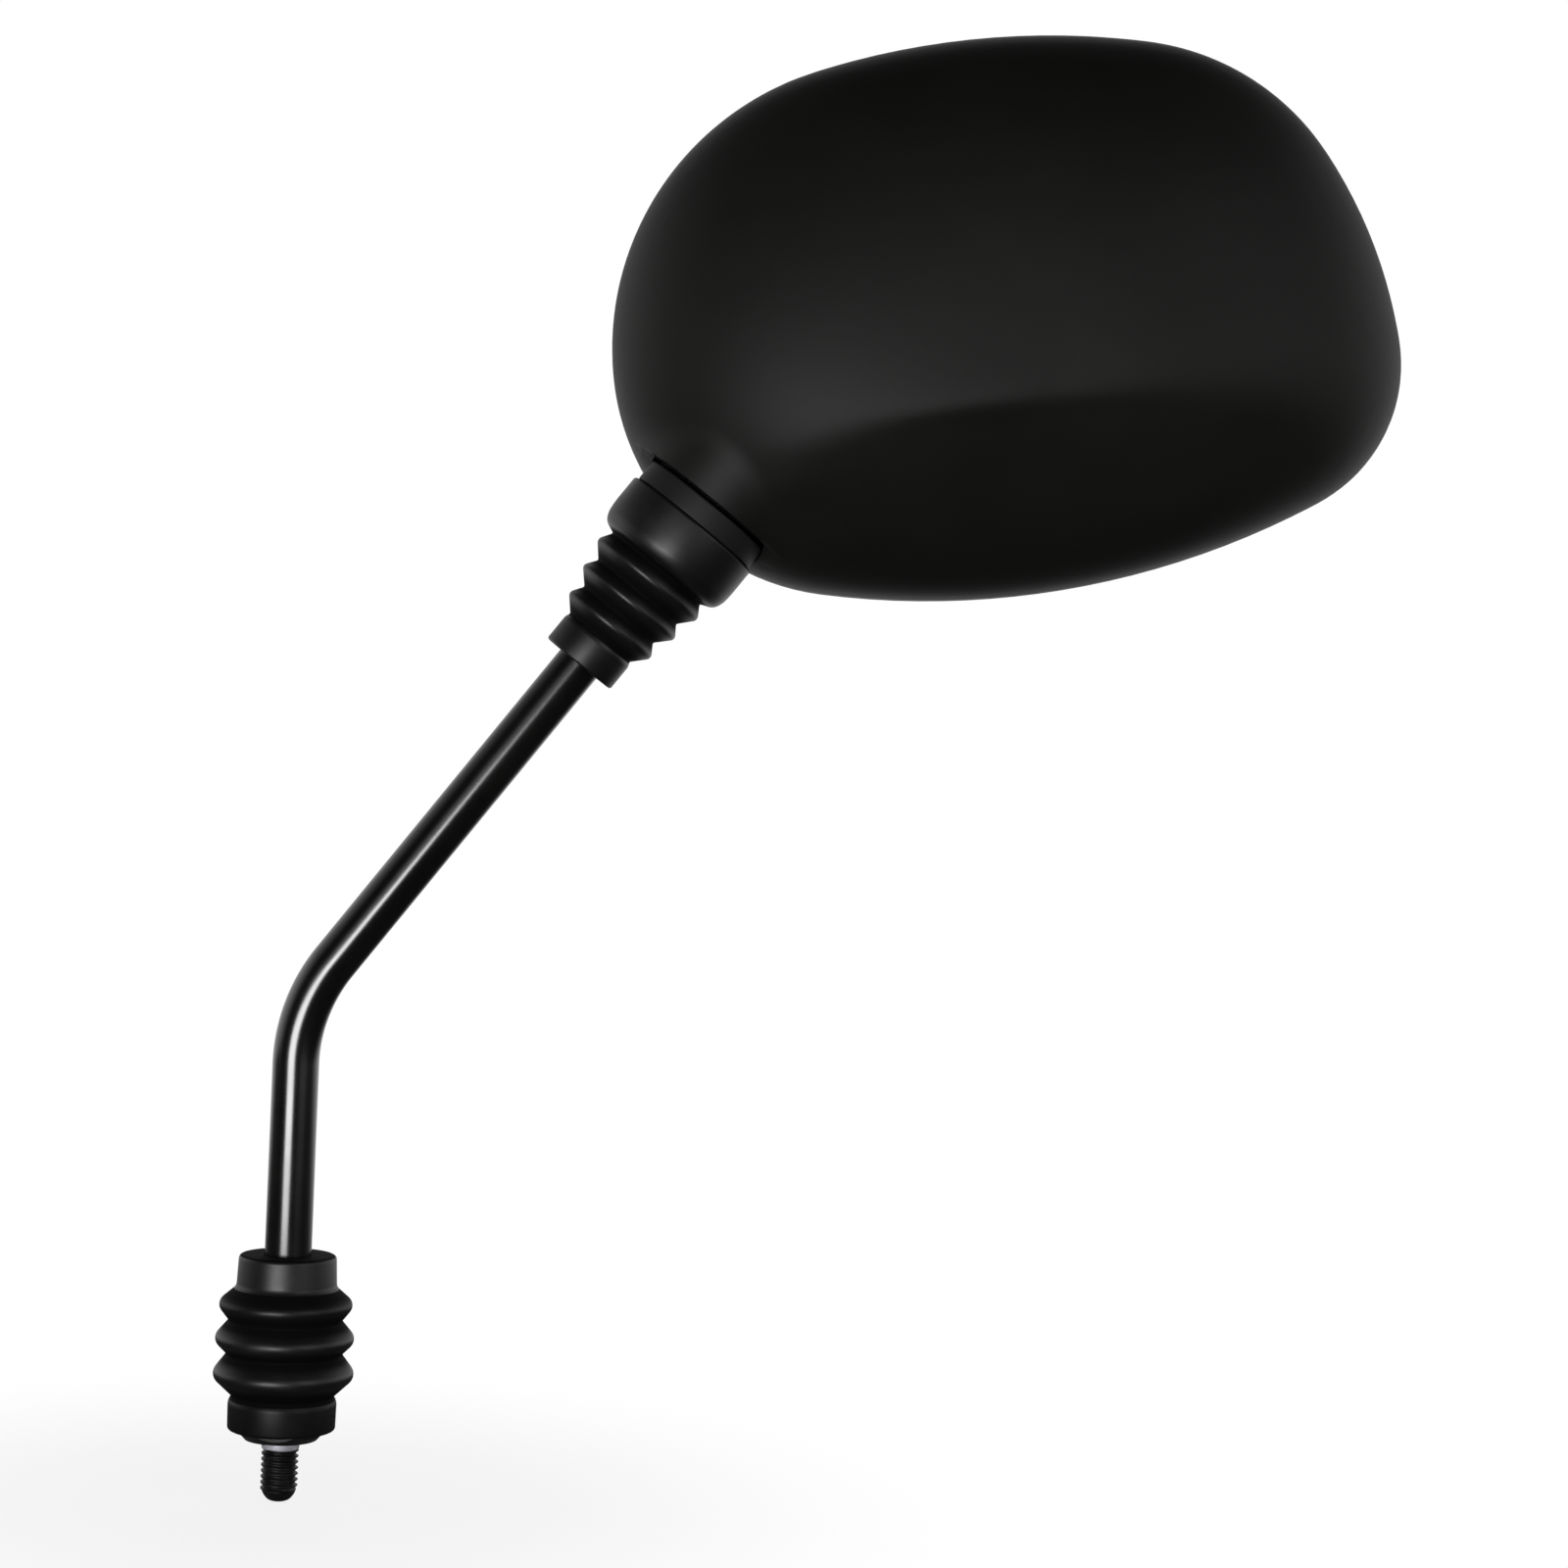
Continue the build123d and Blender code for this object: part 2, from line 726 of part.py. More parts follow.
with BuildPart() as glass_bezel:
    with BuildSketch(Plane.XZ.offset(-parting_face)):
        add(outline_face(0))
    extrude(amount=-(front_face - parting_face))
    fillet(glass_bezel.edges().group_by(Axis.Y)[-1], bezel_round)
    chamfer(glass_bezel.edges().group_by(Axis.Y)[0], bezel_edge)
    with BuildSketch(Plane.XZ.offset(-parting_face)):
        add(outline_face(bezel_skirt))
    extrude(amount=-(lip_back - parting_face), mode=Mode.SUBTRACT)
    with BuildSketch(Plane.XZ.offset(-parting_face)):
        add(outline_face(bezel_opening))
    extrude(amount=-(front_face - parting_face), mode=Mode.SUBTRACT)
    with BuildSketch(neck_plane.offset(notch_far)):
        Circle(notch_radius)
    extrude(amount=neck_end - notch_far, mode=Mode.SUBTRACT)
glass_bezel.part.label = "glass_bezel"

pieces = [
    housing,
    glass_bezel,
    glass_gasket,
    mirror_glass,
    backing_pad,
    neck_ring,
    lower_seat,
    upper_seat,
    thrust_washer,
    disc_spring,
    pivot_ball,
    stem_rod,
    neck_boot,
    lock_nut,
    adapter,
    base_boot,
]
for piece in pieces:
    export_step(piece.part, f"parts/{piece.part.label}.step")
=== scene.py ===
import json
from math import pi, radians, tan

import bmesh
import bpy
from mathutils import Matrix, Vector


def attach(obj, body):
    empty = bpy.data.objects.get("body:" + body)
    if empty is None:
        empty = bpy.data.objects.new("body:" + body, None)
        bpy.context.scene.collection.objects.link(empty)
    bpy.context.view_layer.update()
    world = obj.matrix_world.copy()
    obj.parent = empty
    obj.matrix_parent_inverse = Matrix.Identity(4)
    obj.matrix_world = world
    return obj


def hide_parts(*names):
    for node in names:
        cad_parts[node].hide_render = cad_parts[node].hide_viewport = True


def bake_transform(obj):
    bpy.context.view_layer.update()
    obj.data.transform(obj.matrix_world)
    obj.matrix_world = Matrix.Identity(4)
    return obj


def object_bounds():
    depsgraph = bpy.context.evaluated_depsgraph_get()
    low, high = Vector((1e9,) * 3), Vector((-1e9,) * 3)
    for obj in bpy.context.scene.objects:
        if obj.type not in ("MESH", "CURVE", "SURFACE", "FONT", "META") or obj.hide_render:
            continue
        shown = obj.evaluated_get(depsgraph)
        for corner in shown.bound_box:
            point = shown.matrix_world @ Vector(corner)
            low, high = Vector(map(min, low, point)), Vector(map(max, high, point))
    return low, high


# Handlebar mirror: finishes, rubber boots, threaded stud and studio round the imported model
mm = 0.001
mergeGap = 0.001 * mm  # points closer than this become one
nodeMergeGap = 0.002 * mm
cutSlack = 0.0001 * mm
smoothAngles = {"moulded": 32, "glass": 30, "turned": 40, "thread": 35, "hexagon": 25}  # degrees
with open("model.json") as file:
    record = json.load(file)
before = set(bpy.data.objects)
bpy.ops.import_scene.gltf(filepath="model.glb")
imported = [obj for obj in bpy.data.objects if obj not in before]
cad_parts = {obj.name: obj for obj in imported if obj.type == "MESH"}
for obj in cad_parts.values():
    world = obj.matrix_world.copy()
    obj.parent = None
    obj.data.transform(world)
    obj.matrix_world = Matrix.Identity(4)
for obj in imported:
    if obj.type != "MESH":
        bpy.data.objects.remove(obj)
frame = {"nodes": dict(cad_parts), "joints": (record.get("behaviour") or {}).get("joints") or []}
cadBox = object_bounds()  # the bounds of the imported model; the size that the finished model has to keep

joints = {joint["name"]: joint for joint in frame["joints"]}
ballCentre = Vector(joints["head_tilt"]["pos_m"])
neckAlong = Vector(joints["head_turn"]["axis"]).normalized()
neckAcross = Vector(joints["head_tilt"]["axis"]).normalized()
stemAlong = Vector((0, 0, 1))
stemAcross = Vector((1, 0, 0))
print("frame loaded:", len(frame["nodes"]), "nodes")


# Shader wiring
class Wire:
    def __init__(self, tree, socket=None):
        self.tree = tree
        self.socket = socket

    def add(self, kind, settings=None, inlets=None):  # any node: settings first, then its sockets
        made = self.tree.nodes.new(kind)
        for name, value in (settings or {}).items():
            setattr(made, name, value)
        for name, value in (inlets or {}).items():
            if isinstance(value, Wire):
                self.tree.links.new(value.socket, made.inputs[name])
            else:
                made.inputs[name].default_value = value
        return Wire(self.tree, made.outputs[0] if made.outputs else None)

    def outlet(self, name):
        return Wire(self.tree, self.socket.node.outputs[name])

    def maths(self, operation, first, second):
        return self.add("ShaderNodeMath", {"operation": operation}, {0: first, 1: second})

    def __add__(self, other):
        return self.maths("ADD", self, other)

    def __radd__(self, other):
        return self.maths("ADD", other, self)

    def __sub__(self, other):
        return self.maths("SUBTRACT", self, other)

    def __rsub__(self, other):
        return self.maths("SUBTRACT", other, self)

    def __mul__(self, other):
        return self.maths("MULTIPLY", self, other)

    def __rmul__(self, other):
        return self.maths("MULTIPLY", other, self)

    def largest(self, other):
        return self.maths("MAXIMUM", self, other)

    def rise(self, low, high):  # soft step from 0 to 1
        ranges = {"From Min": low, "From Max": high, "To Min": 0.0, "To Max": 1.0}
        soft = {"interpolation_type": "SMOOTHSTEP"}
        return self.add("ShaderNodeMapRange", soft, {"Value": self, **ranges})

    def tint(self, first, second):  # colour between two, by this value; 6, 7 and 2 are colour sockets
        mixed = self.add("ShaderNodeMix", {"data_type": "RGBA"}, {0: self, 6: first, 7: second})
        return mixed.outlet(2)

    def noise(self, place, scale, detail=2.0, roughness=0.5):
        inlets = {"Vector": place, "Scale": scale, "Detail": detail, "Roughness": roughness}
        return self.add("ShaderNodeTexNoise", {"noise_dimensions": "3D"}, inlets)

    def bump(self, height, strength, distance):
        inlets = {"Height": height, "Strength": strength, "Distance": distance}
        return self.add("ShaderNodeBump", None, inlets)


def startFinish(name):
    material = bpy.data.materials.new(name)
    material.use_nodes = True
    material.node_tree.nodes.clear()
    wire = Wire(material.node_tree)
    place = wire.add("ShaderNodeTexCoord").outlet("Object")
    return material, wire, place


def endFinish(wire, inlets):
    surface = wire.add("ShaderNodeBsdfPrincipled", None, inlets)
    wire.add("ShaderNodeOutputMaterial", None, {"Surface": surface})


def opaque(colour):
    return (*colour, 1.0)


# Moulded black plastic: spark grain, faint flow marks, a little dust in the grain
shellLook = {
    "deep": (0.0030, 0.0030, 0.0026),
    "pale": (0.0052, 0.0052, 0.0044),
    "rough": 0.55,
    "gloss": 0.26,
    "grain": 0.10,
}
rimLook = {
    "deep": (0.0055, 0.0055, 0.0052),
    "pale": (0.0090, 0.0090, 0.0085),
    "rough": 0.52,
    "gloss": 0.32,
    "grain": 0.07,
}
ringLook = {
    "deep": (0.0050, 0.0050, 0.0048),
    "pale": (0.0080, 0.0080, 0.0076),
    "rough": 0.55,
    "gloss": 0.32,
    "grain": 0.06,
}
# painted shade for the gap above the neck ring
grooveShadeLook = {
    "deep": (0.0008, 0.0008, 0.0008),
    "pale": (0.0014, 0.0014, 0.0013),
    "rough": 0.90,
    "gloss": 0.06,
    "grain": 0.05,
}
mouldedScales = {"grain": 3600.0, "pits": 1500.0, "flow": 26.0, "dust": 620.0}
mouldedDepth = 0.12 * mm


def mouldedFinish(name, look):
    material, wire, place = startFinish(name)
    grain = wire.noise(place, mouldedScales["grain"], 2.0)
    pits = wire.noise(place, mouldedScales["pits"], 1.0)
    flow = wire.noise(place, mouldedScales["flow"], 3.0, 0.55)
    dust = wire.noise(place, mouldedScales["dust"], 4.0, 0.7).rise(0.62, 0.86)
    shade = flow.rise(0.30, 0.72) * 0.75 + dust * 0.25
    endFinish(
        wire,
        {
            "Base Color": shade.tint(opaque(look["deep"]), opaque(look["pale"])),
            "Roughness": look["rough"] - 0.03 + flow * 0.05 + grain * 0.04,
            "Specular IOR Level": look["gloss"],
            "Normal": wire.bump(grain * 0.6 + pits * 0.4, look["grain"], mouldedDepth),
        },
    )
    return material


# Boot rubber: patches of bloom, and painted shade, dark and matt, down in the folds
rubberLook = {
    "deep": (0.0026, 0.0026, 0.0027),
    "bloom": (0.0085, 0.0085, 0.0088),
    "rough": 0.44,
    "gloss": 0.50,
    # painted shade: a near-black matt rubber for the folds, the flat top and part of the collars
    "paintedShade": (0.0011, 0.0011, 0.0011),
    "paintedShadeRough": 0.80,
    "paintedShadeGloss": 0.10,
    "paintedShadeRange": (0.05, 0.75),
}
gasketLook = {
    "deep": (0.0040, 0.0040, 0.0040),
    "bloom": (0.0110, 0.0110, 0.0110),
    "rough": 0.60,
    "gloss": 0.34,
}
rubberScales = {"pores": 2400.0, "bloom": 95.0, "specks": 780.0}
poreStrength = 0.10
poreDepth = 0.10 * mm


def rubberSurface(wire, place, look):
    pores = wire.noise(place, rubberScales["pores"], 3.0, 0.6)
    bloom = wire.noise(place, rubberScales["bloom"], 5.0, 0.62).rise(0.45, 0.80)
    specks = wire.noise(place, rubberScales["specks"], 2.0).rise(0.66, 0.80)
    shade = (bloom * 0.7 + specks * 0.3).rise(0.0, 1.0)
    inlets = {
        "Base Color": shade.tint(opaque(look["deep"]), opaque(look["bloom"])),
        "Roughness": look["rough"] + bloom * 0.10 - 0.04,
        "Specular IOR Level": look["gloss"],
        "Normal": wire.bump(pores, poreStrength, poreDepth),
    }
    return wire.add("ShaderNodeBsdfPrincipled", None, inlets)


def gasketFinish(name, look):
    material, wire, place = startFinish(name)
    wire.add("ShaderNodeOutputMaterial", None, {"Surface": rubberSurface(wire, place, look)})
    return material


def bootFinish(name, look):
    material, wire, place = startFinish(name)
    # painted shade: a dark matt surface mixed over the rubber by the painted shade mask
    paintedShadeInlets = {
        "Base Color": opaque(look["paintedShade"]),
        "Roughness": look["paintedShadeRough"],
        "Specular IOR Level": look["paintedShadeGloss"],
    }
    worn = rubberSurface(wire, place, look)
    paintedShade = wire.add("ShaderNodeBsdfPrincipled", None, paintedShadeInlets)
    depth = wire.add("ShaderNodeAttribute", {"attribute_name": "paintedShadeMask"}).outlet("Fac")
    share = depth.rise(*look["paintedShadeRange"])
    mixed = wire.add("ShaderNodeMixShader", None, {0: share, 1: worn, 2: paintedShade})
    wire.add("ShaderNodeOutputMaterial", None, {"Surface": mixed})
    return material


# Gloss black paint on the stem and the adapter
paintLook = {
    "deep": (0.0018, 0.0018, 0.0017),
    "pale": (0.0032, 0.0032, 0.0029),
    "rough": 0.20,
    "gloss": 0.5,
    "coat": 0.5,
    "coatRough": 0.19,
    "peel": 0.012,
    "peelScale": 420.0,
    "hazeScale": 60.0,
}
peelDepth = 0.2 * mm


def paintFinish(name, look):
    material, wire, place = startFinish(name)
    peel = wire.noise(place, look["peelScale"], 1.0)
    haze = wire.noise(place, look["hazeScale"], 4.0, 0.6).rise(0.35, 0.75)
    endFinish(
        wire,
        {
            "Base Color": haze.tint(opaque(look["deep"]), opaque(look["pale"])),
            "Roughness": look["rough"] + haze * 0.06,
            "Specular IOR Level": look["gloss"],
            "Coat Weight": look["coat"],
            "Coat Roughness": look["coatRough"],
            "Normal": wire.bump(peel, look["peel"], peelDepth),
        },
    )
    return material


# Metals: clouded plating and a fine grain
steelLook = {"dark": (0.36, 0.36, 0.37), "light": (0.58, 0.58, 0.59), "rough": 0.28, "shine": 1.0}
springLook = {"dark": (0.20, 0.20, 0.21), "light": (0.38, 0.38, 0.40), "rough": 0.36, "shine": 1.0}
zincLook = {"dark": (0.52, 0.51, 0.58), "light": (0.80, 0.79, 0.88), "rough": 0.46, "shine": 0.5}
blackedLook = {"dark": (0.006, 0.006, 0.007), "light": (0.022, 0.022, 0.023), "rough": 0.36, "shine": 0.4}
metalScales = {"spots": 240.0, "fine": 2600.0}
metalBump = {"strength": 0.05, "depth": 0.05 * mm}


def metalFinish(name, look):
    material, wire, place = startFinish(name)
    spots = wire.noise(place, metalScales["spots"], 4.0, 0.6)
    fine = wire.noise(place, metalScales["fine"], 2.0)
    endFinish(
        wire,
        {
            "Base Color": spots.rise(0.3, 0.7).tint(opaque(look["dark"]), opaque(look["light"])),
            "Metallic": look["shine"],
            "Roughness": look["rough"] - 0.05 + spots * 0.10 + fine * 0.05,
            "Normal": wire.bump(fine, metalBump["strength"], metalBump["depth"]),
        },
    )
    return material


# Silvered glass with a trace of dust and wiping marks
glassLook = {
    "clean": (0.80, 0.82, 0.83),
    "dusty": (0.70, 0.72, 0.73),
    "edge": (0.020, 0.032, 0.028),
    "ground": (0.05, 0.07, 0.06),
    "rough": 0.012,
    "edgeRough": 0.18,
    "wipeStretch": (8.0, 8.0, 60.0),
    "wipeScale": 6.0,
    "dustScale": 900.0,
    "grindScale": 1800.0,
}


def mirrorFinish(name, look):
    material, wire, place = startFinish(name)
    stretched = {"Vector": place, "Scale": look["wipeStretch"]}
    wiped = wire.add("ShaderNodeMapping", {"vector_type": "POINT"}, stretched)
    marks = wire.noise(wiped, look["wipeScale"], 4.0, 0.6).rise(0.50, 0.80)
    dust = wire.noise(place, look["dustScale"], 3.0, 0.6).rise(0.66, 0.80)
    endFinish(
        wire,
        {
            "Base Color": (marks * 0.5 + dust * 0.5).tint(opaque(look["clean"]), opaque(look["dusty"])),
            "Metallic": 1.0,
            "Roughness": look["rough"] + marks * 0.03 + dust * 0.06,
        },
    )
    return material


def glassEdgeFinish(name, look):
    material, wire, place = startFinish(name)
    grind = wire.noise(place, look["grindScale"], 2.0)
    endFinish(
        wire,
        {
            "Base Color": grind.tint(opaque(look["edge"]), opaque(look["ground"])),
            "Roughness": look["edgeRough"] + grind * 0.16,
        },
    )
    return material


# Hidden pieces: natural nylon seats and the felt pad
nylonLook = {"pale": (0.70, 0.68, 0.62), "greased": (0.50, 0.47, 0.40), "rough": 0.46, "greaseScale": 120.0}
feltLook = {
    "dark": (0.05, 0.05, 0.05),
    "light": (0.15, 0.15, 0.15),
    "rough": 0.95,
    "fibreScale": 1400.0,
    "fibreBump": 0.5,
    "fibreDepth": 0.4 * mm,
}


def nylonFinish(name, look):
    material, wire, place = startFinish(name)
    grease = wire.noise(place, look["greaseScale"], 4.0, 0.6).rise(0.4, 0.7)
    endFinish(
        wire,
        {
            "Base Color": grease.tint(opaque(look["pale"]), opaque(look["greased"])),
            "Roughness": look["rough"] - grease * 0.18,
        },
    )
    return material


def feltFinish(name, look):
    material, wire, place = startFinish(name)
    fibres = wire.noise(place, look["fibreScale"], 5.0, 0.7)
    endFinish(
        wire,
        {
            "Base Color": fibres.rise(0.3, 0.7).tint(opaque(look["dark"]), opaque(look["light"])),
            "Roughness": look["rough"],
            "Normal": wire.bump(fibres, look["fibreBump"], look["fibreDepth"]),
        },
    )
    return material


shellPlastic = mouldedFinish("shellPlastic", shellLook)
rimPlastic = mouldedFinish("rimPlastic", rimLook)
ringPlastic = mouldedFinish("ringPlastic", ringLook)
# painted shade for the gap above the neck ring
paintedGrooveShade = mouldedFinish("paintedGrooveShade", grooveShadeLook)
# the boot rubber carries painted shade in its folds
bootRubber = bootFinish("bootRubber", rubberLook)
gasketRubber = gasketFinish("gasketRubber", gasketLook)
stemPaint = paintFinish("stemPaint", paintLook)
turnedSteel = metalFinish("turnedSteel", steelLook)
springSteel = metalFinish("springSteel", springLook)
zincPlate = metalFinish("zincPlate", zincLook)
blackedSteel = metalFinish("blackedSteel", blackedLook)
mirrorSilver = mirrorFinish("mirrorSilver", glassLook)
glassEdge = glassEdgeFinish("glassEdge", glassLook)
seatNylon = nylonFinish("seatNylon", nylonLook)
padFelt = feltFinish("padFelt", feltLook)
print("finishes ready:", len(bpy.data.materials))


# Modelling helpers
def clearSelection():
    if bpy.context.mode != "OBJECT":
        bpy.ops.object.mode_set(mode="OBJECT")
    bpy.ops.object.select_all(action="DESELECT")


def paintWhole(piece, material):
    piece.data.materials.clear()
    piece.data.materials.append(material)


def startWire(name, first):  # one vertex at the first point, ready to be drawn out
    clearSelection()
    bpy.ops.mesh.primitive_plane_add(size=mm, location=first)
    piece = bpy.context.object
    piece.name = name
    bpy.ops.object.transform_apply(location=True, rotation=True, scale=True)
    bpy.ops.object.mode_set(mode="EDIT")
    bpy.ops.mesh.select_all(action="SELECT")
    bpy.ops.mesh.merge(type="CENTER")
    return piece


def drawTo(points):
    for start, end in zip(points, points[1:]):
        bpy.ops.mesh.extrude_vertices_move(TRANSFORM_OT_translate={"value": end - start})


def pickPoint(piece, place):
    bpy.ops.mesh.select_mode(type="VERT")
    bpy.ops.mesh.select_all(action="DESELECT")
    sheet = bmesh.from_edit_mesh(piece.data)
    nearest = min(sheet.verts, key=lambda vert: (vert.co - place).length)
    nearest.select = True
    sheet.select_flush_mode()
    bmesh.update_edit_mesh(piece.data)


def smoothPiece(piece, angle):
    clearSelection()
    piece.select_set(True)
    bpy.context.view_layer.objects.active = piece
    bpy.ops.object.shade_smooth_by_angle(angle=radians(angle))


roundingSegments = 5


def turnPiece(name, corners, centre, along, across, steps):  # corners: radius, height, rounding
    points = [centre + (across * radius + along * height) * mm for radius, height, _ in corners]
    piece = startWire(name, points[0])
    drawTo(points + points[:1])
    bpy.ops.mesh.select_all(action="SELECT")
    bpy.ops.mesh.remove_doubles(threshold=mergeGap)
    for point, (_, _, rounding) in zip(points, corners):
        if rounding:
            pickPoint(piece, point)
            bpy.ops.mesh.bevel(offset=rounding * mm, segments=roundingSegments, affect="VERTICES")
    bpy.ops.mesh.select_all(action="SELECT")
    bpy.ops.mesh.spin(steps=steps, angle=2 * pi, center=centre, axis=along)
    bpy.ops.mesh.select_all(action="SELECT")
    bpy.ops.mesh.remove_doubles(threshold=mergeGap)
    bpy.ops.mesh.normals_make_consistent(inside=False)
    smoothPiece(piece, smoothAngles["turned"])
    return piece


def copyNode(nodeName, pieceName, angle):  # a merged, smooth stand-in for a CAD node
    clearSelection()
    node = frame["nodes"][nodeName]
    piece = bpy.data.objects.new(pieceName, node.data.copy())
    bpy.context.scene.collection.objects.link(piece)
    piece.select_set(True)
    bpy.context.view_layer.objects.active = piece
    bpy.ops.mesh.customdata_custom_splitnormals_clear()
    bpy.ops.object.mode_set(mode="EDIT")
    bpy.ops.mesh.select_all(action="SELECT")
    bpy.ops.mesh.remove_doubles(threshold=nodeMergeGap)
    smoothPiece(piece, angle)
    return piece


def standIn(piece, nodeName, bodyName):
    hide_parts(nodeName)
    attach(piece, bodyName)


# Head: shell, rim, gasket, glass and neck ring
neckSizes = {  # heights along the neck, from the middle of the ball
    "endHeight": -2.0,
    "notchRadius": 17.0,
    "drawnAtRing": 1.5,
    "drawnAtBoot": 0.65,
    "ringTop": -2.9,
    "ringFoot": -8.0,
    "footMargin": 0.5,
    "wallSlack": 0.06,  # slack for finding points and faces
    "endSlack": 0.05,
    "faceSlack": 0.02,
    "grooveDepth": 0.3,
}


def fromNeck(place):  # height along the neck and radius from it, in mm
    offset = (place - ballCentre) / mm
    return offset.dot(neckAlong), offset.cross(neckAlong).length


def closeNotch(piece, sizes):  # the edge of the cut-out drawn in round the ring
    for point in piece.data.vertices:
        height, radius = fromNeck(point.co)
        onWall = abs(radius - sizes["notchRadius"]) < sizes["wallSlack"]
        if onWall and height < sizes["endHeight"] + sizes["endSlack"]:
            outward = (point.co - ballCentre - neckAlong * height * mm).normalized()
            besideRing = height > sizes["ringFoot"] + sizes["footMargin"]
            point.co -= outward * sizes["drawnAtRing" if besideRing else "drawnAtBoot"] * mm


def paintGrooveShade(piece, radiusLimit, heightLimits):  # faces that look into the gap above the ring get painted shade, a near-black matt plastic
    piece.data.materials.append(paintedGrooveShade)
    for face in piece.data.polygons:
        height, radius = fromNeck(face.center)
        if radius < radiusLimit and heightLimits[0] < height < heightLimits[1]:
            face.material_index = 1


shell = copyNode("housing", "mirrorShell", smoothAngles["moulded"])
paintWhole(shell, shellPlastic)
# painted shade on the shell's end face above the ring
grooveFoot = neckSizes["endHeight"] - neckSizes["grooveDepth"]
grooveTop = neckSizes["endHeight"] + neckSizes["faceSlack"]
paintGrooveShade(shell, neckSizes["notchRadius"] + neckSizes["faceSlack"], (grooveFoot, grooveTop))
closeNotch(shell, neckSizes)
standIn(shell, "housing", "head")

rim = copyNode("glass_bezel", "glassRim", smoothAngles["moulded"])
paintWhole(rim, rimPlastic)
standIn(rim, "glass_bezel", "head")

gasket = copyNode("glass_gasket", "glassGasket", smoothAngles["moulded"])
paintWhole(gasket, gasketRubber)
standIn(gasket, "glass_gasket", "head")

ring = copyNode("neck_ring", "neckRing", smoothAngles["moulded"])
paintWhole(ring, ringPlastic)
# painted shade on the ring's top face
paintGrooveShade(ring, neckSizes["notchRadius"], (neckSizes["ringTop"] - neckSizes["endSlack"], 0.0))
standIn(ring, "neck_ring", "head")

silveredFacing = 0.7  # least share of +Y in the normal of the silvered face
glass = copyNode("mirror_glass", "mirrorGlass", smoothAngles["glass"])
paintWhole(glass, mirrorSilver)
glass.data.materials.append(glassEdge)
for face in glass.data.polygons:
    face.material_index = 0 if face.normal.y > silveredFacing else 1
standIn(glass, "mirror_glass", "head")
print("head finished")


# Stem: drawn round bar, bent once, turned down at the top for the ball
stemSizes = {
    "radius": 5.0,
    "foot": 4.5,
    "corner": 93.0,
    "bendRadius": 37.0,
    "bendAngle": 37.0,
    "cornerToBall": 142.0,
    "shoulder": 6.245,
    "spigotRadius": 3.5,
    "rivetRadius": 4.4,
    "rivetFoot": 6.681,
    "rivetTop": 7.481,
    "sides": 72,
    "bendSteps": 28,
}


def drawRing(step):
    bpy.ops.mesh.extrude_region_move(TRANSFORM_OT_translate={"value": step})


def scaleRing(factor, centre):
    bpy.ops.mesh.extrude_region_move(TRANSFORM_OT_translate={"value": (0, 0, 0)})
    bpy.ops.transform.resize(value=(factor, factor, factor), center_override=centre)


def modelStem(sizes):
    clearSelection()
    bend = radians(sizes["bendAngle"])
    setback = sizes["bendRadius"] * tan(bend / 2)
    foot = Vector((0, 0, sizes["foot"] * mm))
    bpy.ops.mesh.primitive_circle_add(
        vertices=sizes["sides"], radius=sizes["radius"] * mm, fill_type="NGON", location=foot
    )
    stem = bpy.context.object
    stem.name = "bentStem"
    bpy.ops.object.transform_apply(location=True, rotation=True, scale=True)
    bpy.ops.object.mode_set(mode="EDIT")
    bpy.ops.mesh.select_all(action="SELECT")
    bpy.ops.mesh.duplicate()
    bpy.ops.mesh.delete(type="ONLY_FACE")
    bpy.ops.mesh.select_all(action="SELECT")
    bpy.ops.mesh.remove_doubles(threshold=mergeGap)
    bpy.ops.mesh.select_all(action="SELECT")
    drawRing(stemAlong * (sizes["corner"] - setback - sizes["foot"]) * mm)
    pivot = Vector((sizes["bendRadius"], 0, sizes["corner"] - setback)) * mm
    bpy.ops.mesh.spin(steps=sizes["bendSteps"], angle=-bend, center=pivot, axis=(0, 1, 0))
    drawRing(neckAlong * (sizes["cornerToBall"] - setback - sizes["shoulder"]) * mm)
    shoulder = ballCentre - neckAlong * sizes["shoulder"] * mm
    scaleRing(sizes["spigotRadius"] / sizes["radius"], shoulder)
    drawRing(neckAlong * (sizes["shoulder"] + sizes["rivetFoot"]) * mm)
    rivetFoot = ballCentre + neckAlong * sizes["rivetFoot"] * mm
    scaleRing(sizes["rivetRadius"] / sizes["spigotRadius"], rivetFoot)
    drawRing(neckAlong * (sizes["rivetTop"] - sizes["rivetFoot"]) * mm)
    bpy.ops.mesh.edge_face_add()
    bpy.ops.mesh.select_all(action="SELECT")
    bpy.ops.mesh.remove_doubles(threshold=mergeGap)
    bpy.ops.mesh.normals_make_consistent(inside=False)
    smoothPiece(stem, smoothAngles["turned"])
    return stem


stem = modelStem(stemSizes)
paintWhole(stem, stemPaint)
standIn(stem, "stem_rod", "stem")
print("stem finished")


# Adapter: hexagon from the CAD, with a cut thread, a bare root and a domed end below it
studSizes = {
    "outer": 3.97,
    "core": 3.38,
    "pitch": 1.25,
    "flankEnd": 0.36,  # shares of the pitch
    "crestEnd": 0.5,
    "rootStart": 0.86,
    "spareTurns": 2,
    "threadTop": -1.9,
    "threadFoot": -10.9,
    "hexagonFoot": -0.02,
    "rootRadius": 4.05,
    "rootFoot": -2.05,
    "rootRounding": 0.35,
    "rootTaper": 0.4,
    "domeRadius": 3.7,
    "domeTop": -10.2,
    "domeStep": 0.5,
    "domeEdge": 0.3,
    "domeTaper": 0.3,
    "shoulder": 1.3,
    "shoulderRounding": 1.2,
    "tip": -13.4,
    "tipInset": 1.9,
    "tipRounding": 1.1,
    "sides": 48,
}


def cutAcross(height, keepAbove):
    bpy.ops.mesh.select_all(action="SELECT")
    bpy.ops.mesh.bisect(
        plane_co=(0, 0, height * mm),
        plane_no=(0, 0, 1),
        use_fill=True,
        clear_inner=keepAbove,
        clear_outer=not keepAbove,
        threshold=cutSlack,
    )


